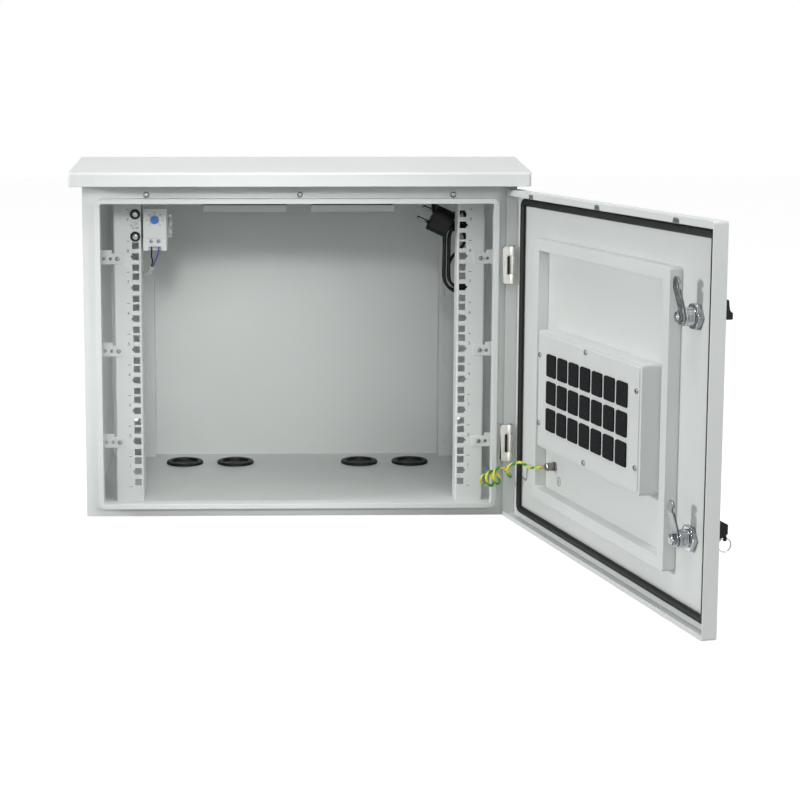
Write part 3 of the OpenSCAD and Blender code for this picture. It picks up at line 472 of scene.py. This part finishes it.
# Camera, from the standard spacing of the rail holes
FOCAL_PX = 1790.5
PHOTO_PX = 800
SENSOR = 36
eye = bpy.data.cameras.new("camera")
eye.sensor_width = SENSOR
eye.lens = FOCAL_PX * SENSOR / PHOTO_PX
eye.shift_x = 87.5 / PHOTO_PX
eye.shift_y = -81.1 / PHOTO_PX
eye.clip_end = 50
camera = bpy.data.objects.new("camera", eye)
scene.collection.objects.link(camera)
camera.location = at(-33.6, -2670.3, 604.3)
camera.rotation_euler = (math.radians(90 - 7.49), 0, math.radians(-1.18))
scene.camera = camera

# Cords: the fans' mains lead, wound up behind the right rail, with its plug
HANK = (235.0, 352.0)
HANK_STRAIGHT = 60.0
HANK_OUTER = 21.4
HANK_INNER = 14.8
HANK_PITCH = 5.2
HANK_TURNS = 6.55
LAYER_TURNS = 3
LAYER_BACK = 3.25
TURN_STEPS = 48
HANK_BACK = -48.0
HANK_FRONT = HANK_BACK - LAYER_TURNS * HANK_PITCH
CORD_D = 4.4
CORD_GAP = 2.5
LOOP = (221.0, 426.5)
LOOP_R = 19.6
LOOP_POINTS = 53
LOOP_STEP = 22.5


def hank_point(turn, y, r):
    """A point of the hank: down the right run, round the foot, up the left run and over the top in each turn."""
    part, along = int(turn * 4) % 4, turn * 4 % 1
    half = HANK_STRAIGHT / 2
    swing = math.pi * along
    x, z = ((r, half - HANK_STRAIGHT * along), (r * math.cos(swing), -half - r * math.sin(swing)),
            (-r, HANK_STRAIGHT * along - half), (-r * math.cos(swing), half + r * math.sin(swing)))[part]
    lean = 1.3 * math.sin(2.4 * turn)
    return at(HANK[0] + x + lean * z / half * 0.5, y, HANK[1] + z + lean)


def eased_step(t):
    t = min(max(t, 0.0), 1.0)
    return t * t * (3 - 2 * t)


# From the fan through loose loops down to the hank
down = [at(*p) for p in ((137.5, 0, 447), (146, -1, 447.2), (160, -4, 447.6), (178, -11, 447.4), (198, -20, 446.4))]
for k in range(LOOP_POINTS):
    a = math.radians(90 - LOOP_STEP * k)
    r = LOOP_R + 1.2 * math.sin(1.7 * a)
    x = LOOP[0] - 2.5 * math.sin(0.16 * k) + r * math.cos(a)
    down.append(at(x, -21 - 0.53 * k, LOOP[1] + r * math.sin(a)))
down = curved(down + [at(*p) for p in ((245, -49, 412), (251, -49, 400.5), (255.4, -48.4, 391))], 10)
# The hank: an outer layer wound to the front, and an inner one wound back
wound = []
for k in range(int(HANK_TURNS * TURN_STEPS) + 1):
    turn = k / TURN_STEPS
    r = HANK_OUTER + (HANK_INNER - HANK_OUTER) * eased_step((turn - LAYER_TURNS) / 0.5)
    if turn < LAYER_BACK:
        y = HANK_BACK - HANK_PITCH * min(turn, LAYER_TURNS)
    else:
        y = min(HANK_FRONT + HANK_PITCH * (turn - LAYER_BACK), HANK_BACK)
    wound.append(hank_point(turn, y, r))
# Up to the plug, which is turned about the tip of its pins
tip = at(172.6, -84, 420.4)
PLUG_TURN = (Matrix.Translation(at(2.2, 0, 0.6) + tip) @ Matrix.Rotation(math.radians(-20), 4, "Y")
             @ Matrix.Translation(-tip))
up = [at(*p) for p in ((221.8, -48, 342), (225.4, -51, 351), (231.8, -59.4, 359.8), (238, -70, 368),
                       (241.6, -77.6, 376.8), (241.6, -81.4, 384.4), (238.6, -83.3, 390.8))]
up = curved([wound[-1]] + up + [PLUG_TURN @ at(217.6, -84, 376.4)], 10)
lead_run = settled(spaced(down + wound + up[1:], CORD_GAP * MM), 8)
lead = piece("mains_lead", tube("mains_lead", lead_run, CORD_D / 2 * MM, 14), SHEATH, "cabinet", "cable_sheath",
             "plug_lead", "fan_lead", "lead_hank")
plug = eased("plug_body", 1.2, PLUG_TURN)
pins = eased("plug_pins", 0.4, PLUG_TURN)

# The switch's lead: two cores from its terminals into a sleeve that runs behind the left rail to the fan
SLEEVE_D = 6.4
COLLAR_WALL = 0.3
COLLAR_POINTS = 7
CORE_D = 2.1
sleeve_run = spaced(curved([at(*p) for p in (
    (-138, 0, 447), (-152, 0, 447), (-180, -20, 447), (-215, -60, 452), (-236, -84, 438), (-242, -90, 410),
    (-242, -91, 372), (-241, -91, 350), (-235, -90, 336), (-225, -92, 331), (-217, -102, 332.6),
    (-213, -112, 337.6), (-210.4, -120, 345))], 10), CORD_GAP * MM)
sleeve_run = settled(sleeve_run, 8)
sleeve = piece("switch_lead_sleeve", tube("switch_lead_sleeve", sleeve_run, SLEEVE_D / 2 * MM), SLEEVE, "cabinet",
               "lead_sleeve", "switch_lead")
collar = tube("sleeve_collar", sleeve_run[-COLLAR_POINTS:], (SLEEVE_D / 2 + COLLAR_WALL) * MM)
cores = [piece("sleeve_collar", collar, SHRINK, "cabinet", "lead_sleeve")]
for name, side, core in (("switch_core_black", -1, SHEATH), ("switch_core_violet", 1, VIOLET)):
    x = SWITCH[0] + side * TERMINAL_X
    run = curved([at(*p) for p in ((x, -125, 378), (x, -125, 368), (x - 1.2 - side * 0.6, -124.6, 361),
                                   (-207.6 + side * 1.7, -123.2, 352.5), (-211.2 + side * 1.1, -118, 342.6))], 10)
    run = spaced(run, 1.5 * MM)
    cores.append(piece(name, tube(name, run, CORE_D / 2 * MM, 12), core, "cabinet", "cable_sheath"))

# The earth wire, wound like a spring where it crosses the hinge
WIRE_D = 4.2
WIRE_GAP = 1.2
LUG_OUT = 6
LUG_ANGLE = 13.6
stud = at(*DOOR_STUD)
LUG_TURN = (OPEN @ Matrix.Translation(stud + at(0, LUG_OUT, 0)) @ Matrix.Rotation(math.radians(LUG_ANGLE), 4, "Y")
            @ Matrix.Translation(-stud))
lug_move = LUG_TURN @ SHUT
fixed_side = curved([at(*p) for p in (
    (293.5, -182.2, 38), (293.5, -184.6, 38), (292.2, -189.4, 38.2), (288.6, -193, 38.6), (283.5, -194.4, 39),
    (275, -194.4, 39.8), (266.4, -194.4, 41), (261.2, -195.7, 42.2), (257.4, -199.4, 43.8),
    (255.8, -204.8, 45.8))], 10)
# Each row is the middle of the coil, the turns wound so far and the coil's radius
coil = ((255.4, -209, 48.2, 0.3, 0), (256.8, -216.5, 51, 0.5, 5), (261, -224, 55, 0.75, 9),
        (266, -231, 58.4, 1.5, 10.2), (271.8, -238.4, 63.2, 2.35, 10.4), (283, -248.4, 70.6, 3.1, 9.8),
        (288.2, -256.5, 79, 3.46, 6), (293, -266, 87, 3.74, 0))
COIL_STEPS = 40
AHEAD = 12
middle = curved([at(*c[:3]) for c in coil], COIL_STEPS)
winding = curved([Vector((c[3], c[4], 0)) for c in coil], COIL_STEPS)
coiled = []
for i, (m, (turns, r, _)) in enumerate(zip(middle, winding)):
    t = (middle[min(i + AHEAD, len(middle) - 1)] - middle[max(i - AHEAD, 0)]).normalized()
    across = t.cross(Vector((0, 0, 1))).normalized()
    raised = across.cross(t)
    a = 2 * math.pi * turns + math.pi
    coiled.append(m + r * MM * (across * math.cos(a) + raised * math.sin(a)))
door_side = curved([coiled[-1]] + [at(*p) for p in ((298, -275.5, 91.2), (303, -288, 91.6), (308, -303.5, 90))]
                   + [OPEN @ at(*(a + b for a, b in zip(DOOR_STUD, p))) for p in ((30, 13.4, -7.1), (25, 11.8, -5.9))]
                   + [LUG_TURN @ (stud + at(*p)) for p in ((20.4, 5.1, 0), (17.2, 5, 0))], 10)
wire_run = settled(spaced(fixed_side + coiled + door_side[1:], WIRE_GAP * MM), 24)
wire = piece("earth_wire_coiled", tube("earth_wire_coiled", wire_run, WIRE_D / 2 * MM, 14), EARTH, None,
             "earth_insulation", "earth_wire")
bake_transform(wire)

# The wire's terminal on the door's stud, held by a second nut
eased("earth_lug_door", 0.2, lug_move)
nut = lathe(bmesh.new(), [(0, 10.1), (5.2, 10.1), (5.77, 10.5), (5.77, 13.2), (5.2, 13.6), (0, 13.6)], DOOR_STUD, 6)
bmesh.ops.recalc_face_normals(nut, faces=nut.faces)
nut.transform(OPEN)
piece("earth_lock_nut", soften(mesh_of(nut, "earth_lock_nut"), 25), ZINC, "door", "zinc_steel")

# Folded, moulded and cut pieces with their edges eased
for node, width in (("front_frame", 0.5), ("roof_canopy", 0.6), ("door_panel", 0.4), ("filter_box", 0.5),
                    ("filter_cover", 0.3), ("door_stiffener", 0.5), ("rail_left", 0.25), ("rail_right", 0.25),
                    ("rail_brackets", 0.3), ("rear_posts", 0.4), ("floor_plate", 0.3), ("fan_trays", 0.3),
                    ("hinge_leaves", 0.2), ("hinge_knuckles", 0.3), ("lock_nuts", 0.5), ("lock_cam_top", 0.3),
                    ("lock_cam_bottom", 0.3), ("lock_housings", 0.4), ("switch_body", 0.5), ("switch_bracket", 0.2),
                    ("lock_plug_top", 0.25), ("lock_plug_bottom", 0.25)):
    eased(node, width)

# Black plates in the hinges' leaf slots, beside the middle knuckles: painted shade where the slots show dark
SLOT_SHADE_X = (286.2, 288.9)
SLOT_SHADE_HALF = 12.5
slot_shade = bmesh.new()
for z in HINGE_Z:
    plate(slot_shade, SLOT_SHADE_X[0], LEAF_Y - 0.3, z - SLOT_SHADE_HALF, SLOT_SHADE_X[1], LEAF_Y + 0.5, z + SLOT_SHADE_HALF)
piece("hinge_bushes", mesh_of(slot_shade, "hinge_bushes"), NYLON, "cabinet", "black_plastic")


# The keys' moulded bows, as long as the photo shows them
KEY_HALF = 3.5
EYE_Y = (-40.5, -38.5)
RING_OUT = 4.5


def key(name, bow, lock, ringed, *stands_for):
    """A key in the shut door's lock: a bow, outlined from the door's face as (y, z) in mm, and its blade."""
    bm = bmesh.new()
    z0 = LOCK_Z[lock]
    sides = [[bm.verts.new(at(LOCK_X + x, DOOR_Y0 + y, z0 + z)) for y, z in bow]
             for x in (-KEY_HALF, KEY_HALF)]
    for i in range(len(bow)):
        k = (i + 1) % len(bow)
        bm.faces.new((sides[0][i], sides[0][k], sides[1][k], sides[1][i]))
    bm.faces.new(sides[0])
    bm.faces.new(sides[1])
    bmesh.ops.bevel(bm, geom=bm.edges[:], offset=1.1 * MM, segments=3, profile=0.5, affect="EDGES")
    plate(bm, LOCK_X - 1, DOOR_Y0 - 24, z0 - 4, LOCK_X + 1, DOOR_Y0 + 12, z0 + 4)
    if ringed:
        y0, y1 = EYE_Y
        lathe(bm, [(1.8, y0), (3.5, y0), (3.5, y1), (1.8, y1), (1.8, y0)], (LOCK_X, DOOR_Y0, z0 - 3), 24)
        plate(bm, LOCK_X - 2.2, DOOR_Y0 + y0, z0, LOCK_X + 2.2, DOOR_Y0 + y1, z0 + 6)
        bmesh.ops.remove_doubles(bm, verts=bm.verts, dist=1e-7)
    bmesh.ops.recalc_face_normals(bm, faces=bm.faces)
    bm.transform(OPEN)
    piece(name, soften(mesh_of(bm, name), 30), NYLON, body_of[stands_for[0]], "black_plastic", *stands_for)


cranked_bow = ((-14, -5), (-40, -5), (-40, 3), (-35, 4.5), (-35, 17), (-29, 19), (-27, 5), (-14, 5))
plain_bow = ((-14, -5), (-29, -5), (-42, 2), (-42, 13), (-25, 22), (-14, 8))
key("key_bow_top", cranked_bow, 1, False, "key_top")
key("key_bow_bottom", plain_bow, 0, True, "key_bottom")
eased("key_ring", 0.0, Matrix.Translation(OPEN.to_3x3() @ at(0, -RING_OUT, 0)))

# The door's seal, a bulb that runs round the door's skin
SEAL_H = 6.5
low, high = (Vector(f(c[i] for c in (SHUT @ v.co for v in cad["door_gasket"].data.vertices)) for i in range(3)) / MM
             for f in (min, max))
half_w = 5.0
corner = 6.0
path = []
for cx, cz, start in ((high.x, high.z, 0), (low.x, high.z, 90), (low.x, low.z, 180), (high.x, low.z, 270)):
    mx = cx - math.copysign(half_w + corner, cx)
    mz = cz - math.copysign(half_w + corner, cz - (low.z + high.z) / 2)
    for k in range(9):
        a = math.radians(start + 90 * k / 8)
        path.append(at(mx + corner * math.cos(a), mz + corner * math.sin(a), 0))
loop = bpy.data.meshes.new("door_seal_path")
loop.from_pydata(path, [(i, (i + 1) % len(path)) for i in range(len(path))], [])
seal_mesh = grown(bead_tree, "door_seal", loop, Width=2 * half_w * MM, Height=SEAL_H * MM, Finish=EPDM)
flat = Matrix(((1, 0, 0, 0), (0, 0, -1, (SKIN_Y + SEAL_H / 2) * MM), (0, 1, 0, 0), (0, 0, 0, 1)))
seal_mesh.transform(OPEN @ flat)
soften(seal_mesh, 60)
seal = piece("door_seal", seal_mesh, EPDM, "door", "black_rubber", "door_gasket")
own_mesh(seal)


# Screws with a cross recess, its arms as shares of the head's radius
ARM_LONG, ARM_WIDE = 0.62, 0.13
NUT_TURNED = 0.1


def screw(name, head_d, head_h, shank_d, shank_l, nut_at=None, nut_f=7.0, nut_h=3.2):
    """A pan-head screw along Y, its head in front of y = 0, with a cross recess and perhaps a nut."""
    r = head_d / 2
    dome = [(0, -head_h), (r * 0.55, -head_h), (r * 0.8, -head_h * 0.9), (r * 0.94, -head_h * 0.66),
            (r, -head_h * 0.3), (r, 0)]
    shank = [(shank_d / 2, 0), (shank_d / 2, shank_l - 0.6), (shank_d / 2 - 0.6, shank_l), (0, shank_l)]
    bm = lathe(bmesh.new(), dome + shank)
    if nut_at is not None:
        f = nut_f / math.sqrt(3)
        lathe(bm, [(0, nut_at), (f, nut_at), (f, nut_at + nut_h), (0, nut_at + nut_h)], steps=6, turned=NUT_TURNED)
    bmesh.ops.recalc_face_normals(bm, faces=bm.faces)
    ob = bpy.data.objects.new(name, mesh_of(bm, name))
    cutter = bmesh.new()
    for w, h in ((ARM_LONG * r, ARM_WIDE * r), (ARM_WIDE * r, ARM_LONG * r)):
        plate(cutter, -w, -head_h - 1, -h, w, -head_h * 0.35, h)
    cross = bpy.data.objects.new(name + "_cross", mesh_of(cutter, name + "_cross"))
    for o in (ob, cross):
        scene.collection.objects.link(o)
    cut = ob.modifiers.new("recess", "BOOLEAN")
    cut.object = cross
    cut.solver = "EXACT"
    cut.use_self = True
    layer = bpy.context.evaluated_depsgraph_get()
    mesh = bpy.data.meshes.new_from_object(ob.evaluated_get(layer), depsgraph=layer)
    bpy.data.objects.remove(ob)
    bpy.data.objects.remove(cross)
    return mesh


def screws(node, part, head_h, body, turn=Matrix()):
    """The screws of a node, each with its head where the node's is."""
    back = turn.inverted()
    spots = []
    for low, high in solids(node, back):
        spots.append(((low[0] + high[0]) / 2, low[1] + head_h, (low[2] + high[2]) / 2))
    mesh = repeated(node + "_cut", part, spots, ZINC)
    mesh.transform(turn)
    return piece(node + "_cut", mesh, ZINC, body, slot_of[node], node)


screws("frame_screws", screw("canopy_screw", 8, 2.6, 4, 9, 3.0), 2.6, "cabinet")
screws("cage_screws", screw("cage_screw", 9.6, 3.4, 5, 12.5, 5.1, 8.0, 4.0), 3.4, "cabinet")
screws("bracket_screws", screw("bracket_screw", 6.4, 1.6, 4, 9, 4.0), 1.6, "cabinet")
FACING = Matrix.Rotation(math.pi, 4, "Z")
screws("filter_screws", screw("filter_screw", 7, 2.2, 3.5, 7.5), 2.2, "door", OPEN @ FACING)
terminal = screw("terminal_screw", 4.4, 1.6, 2.5, 3)
spots = [(SWITCH[0] + s * TERMINAL_X, SWITCH[1] + 4.5, SWITCH[2] + 13.9) for s in (-1, 1)]
mesh = repeated("switch_terminals", terminal, spots, ZINC)
piece("switch_terminals", mesh, ZINC, "cabinet", "zinc_steel")

# Thread on the lock barrels, between the nut and the cam
thread = bmesh.new()
lathe(thread, [(9.4, -0.75), (10.05, -0.75), (10.45, -0.2), (10.45, 0.2), (10.05, 0.75), (9.4, 0.75), (9.4, -0.75)])
bmesh.ops.remove_doubles(thread, verts=thread.verts, dist=1e-7)
bmesh.ops.recalc_face_normals(thread, faces=thread.faces)
ridge = mesh_of(thread, "thread_ridge")
first_ridge = SKIN_Y + 8.4
ridges = [(LOCK_X, first_ridge + k * 1.7, z) for z in LOCK_Z for k in range(6)]
mesh = repeated("lock_threads", ridge, ridges, CHROME)
mesh.transform(OPEN)
piece("lock_threads", mesh, CHROME, "door", "chrome_plate")

# Unit marks and numbers on the rails, and the scale round the switch's dial
MARK_X = 243.4
MARK_Y = RAIL_Y - 0.06
mark = bmesh.new()
plate(mark, -2.1, 0, -0.35, 2.1, 0.1, 0.35)
marks = [(s * MARK_X, MARK_Y, UNIT_BASE + u * UNIT) for s in (-1, 1) for u in range(UNITS + 1)]
mesh = repeated("unit_marks", mesh_of(mark, "unit_mark"), marks, INK)
piece("unit_marks", mesh, INK, "cabinet", "powder_coat")


def lettering(name, labels, height):
    """Thin figures in one mesh, facing the front, each centred at a place in mm."""
    bm = bmesh.new()
    for text, place in labels:
        curve = bpy.data.curves.new(name, "FONT")
        curve.body = text
        curve.size = height * MM
        curve.align_x = "CENTER"
        curve.align_y = "CENTER"
        curve.resolution_u = 3
        curve.extrude = 0.05 * MM
        ob = bpy.data.objects.new(name, curve)
        scene.collection.objects.link(ob)
        layer = bpy.context.evaluated_depsgraph_get()
        flat_text = bpy.data.meshes.new_from_object(ob.evaluated_get(layer), depsgraph=layer)
        bpy.data.objects.remove(ob)
        bpy.data.curves.remove(curve)
        flat_text.transform(Matrix.Translation(at(*place)) @ Matrix.Rotation(math.pi / 2, 4, "X"))
        bm.from_mesh(flat_text)
        bpy.data.meshes.remove(flat_text)
    bmesh.ops.remove_doubles(bm, verts=bm.verts, dist=1e-7)
    bmesh.ops.recalc_face_normals(bm, faces=bm.faces)
    return mesh_of(bm, name)


figures = [(str(u + 1), (s * MARK_X, MARK_Y, UNIT_BASE + (u + 0.68) * UNIT))
           for s in (-1, 1) for u in range(UNITS)]
piece("unit_numbers", lettering("unit_numbers", figures, 6.2), INK, "cabinet", "powder_coat")
FACE_Y = SWITCH[1] - 0.06
scale = []
for k in range(7):
    a = math.radians(225 - 45 * k)
    scale.append((str(10 * k), (SWITCH[0] + 11.4 * math.cos(a), FACE_Y, DIAL_Z + 10.4 * math.sin(a))))
piece("dial_figures", lettering("dial_figures", scale, 2.9), INK, "cabinet", "switch_plastic")
ticks = bmesh.new()
TICK_STEPS = 24
for k in range(TICK_STEPS + 1):
    a = math.radians(225 - 270 * k / TICK_STEPS)
    r0, r1 = 6.4, 8.6 if k % 4 == 0 else 7.6
    turn = Matrix.Translation(at(SWITCH[0], 0, DIAL_Z)) @ Matrix.Rotation(-a, 4, "Y")
    tick = bmesh.new()
    plate(tick, r0, FACE_Y, -0.14, r1, FACE_Y + 0.1, 0.14)
    tick.transform(turn)
    small = mesh_of(tick, "tick")
    ticks.from_mesh(small)
    bpy.data.meshes.remove(small)
piece("dial_ticks", mesh_of(ticks, "dial_ticks"), INK, "cabinet", "switch_plastic")

# The earth sign pressed beside the door's stud: a ring round three bars under a stem, drawn in the grey ink colour as
# painted shade of the pressing
sign = bmesh.new()
SIGN = (138.5, SKIN_Y, 83.0)
SIGN_H = 0.18
lathe(sign, [(5.4, 0), (5.4, SIGN_H), (6.1, SIGN_H), (6.1, 0), (5.4, 0)], SIGN, 40)
for half, z0, z1 in ((0.3, 0.4, 4.0), (3.2, -0.2, 0.4), (2.1, -1.7, -1.1), (1.0, -3.2, -2.6)):
    plate(sign, SIGN[0] - half, SIGN[1], SIGN[2] + z0, SIGN[0] + half, SIGN[1] + SIGN_H, SIGN[2] + z1)
bmesh.ops.remove_doubles(sign, verts=sign.verts, dist=1e-7)
bmesh.ops.recalc_face_normals(sign, faces=sign.faces)
sign.transform(OPEN)
piece("earth_sign", mesh_of(sign, "earth_sign"), INK, "door", "powder_coat")

# Stage
FLOOR_GLOW = 0.86
AMBIENT = 0.22


def in_sight(tree):
    """1 for a ray that the eye follows, also in a mirror or through glass, and 0 for one that only lights."""
    ray = add(tree, "ShaderNodeLightPath").outputs
    seen = add(tree, "ShaderNodeMath", operation="MAXIMUM", in0=ray["Is Camera Ray"], in1=ray["Is Glossy Ray"])
    seen = add(tree, "ShaderNodeMath", operation="MAXIMUM", in0=seen.outputs[0], in1=ray["Is Transmission Ray"])
    return seen.outputs[0]


# Paper sweep: matt; a grey base keeps its bounce low, and it glows to white where it is seen
floor_mesh = bpy.data.meshes.new("floor")
floor_mesh.from_pydata([(-9, -9, 0), (9, -9, 0), (9, 9, 0), (-9, 9, 0)], [], [(0, 1, 2, 3)])
floor = bpy.data.objects.new("floor", floor_mesh)
scene.collection.objects.link(floor)
paper, tree, shader, _ = material("white_paper", "#a6a6a6", 0.9, specular=0.1)
lift = add(tree, "ShaderNodeMath", operation="MULTIPLY", in0=in_sight(tree), in1=FLOOR_GLOW)
shader.inputs["Emission Color"].default_value = (1, 1, 1, 1)
tree.links.new(lift.outputs[0], shader.inputs["Emission Strength"])
floor_mesh.materials.append(paper)

world = bpy.data.worlds.new("studio")
scene.world = world
world.use_nodes = True
tree = world.node_tree
level = add(tree, "ShaderNodeMapRange", Value=in_sight(tree), To_Min=AMBIENT, To_Max=1.0)
tree.nodes["Background"].inputs["Color"].default_value = (1, 1, 1, 1)
tree.links.new(level.outputs["Result"], tree.nodes["Background"].inputs["Strength"])


def lamp(name, place, aim, wide, watts, cone=None):
    """A soft square lamp, or a spot with a cone, of a width in metres."""
    data = bpy.data.lights.new(name, "SPOT" if cone else "AREA")
    data.energy = watts
    if cone:
        data.shadow_soft_size = wide
        data.spot_size = cone
        data.spot_blend = 0.8
    else:
        data.size = wide
    ob = bpy.data.objects.new(name, data)
    scene.collection.objects.link(ob)
    ob.location = place
    ob.rotation_euler = (Vector(aim) - Vector(place)).to_track_quat("-Z", "Y").to_euler()


lamp("front", (-0.3, -3.6, 1.2), (0.05, -0.1, 0.25), 1.1, 14)
lamp("right", (1.7, -3.1, 1.4), (0.1, -0.3, 0.25), 0.8, 24)
lamp("left", (-3.0, -1.0, 0.95), (0.35, -0.5, 0.25), 0.3, 53)
lamp("top", (0.1, -1.2, 2.7), (0, 0, 0.3), 1.4, 34)
lamp("inside", (-0.1, -2.7, 1.1), (-0.05, 0.1, 0.16), 0.15, 100, math.radians(13.5))
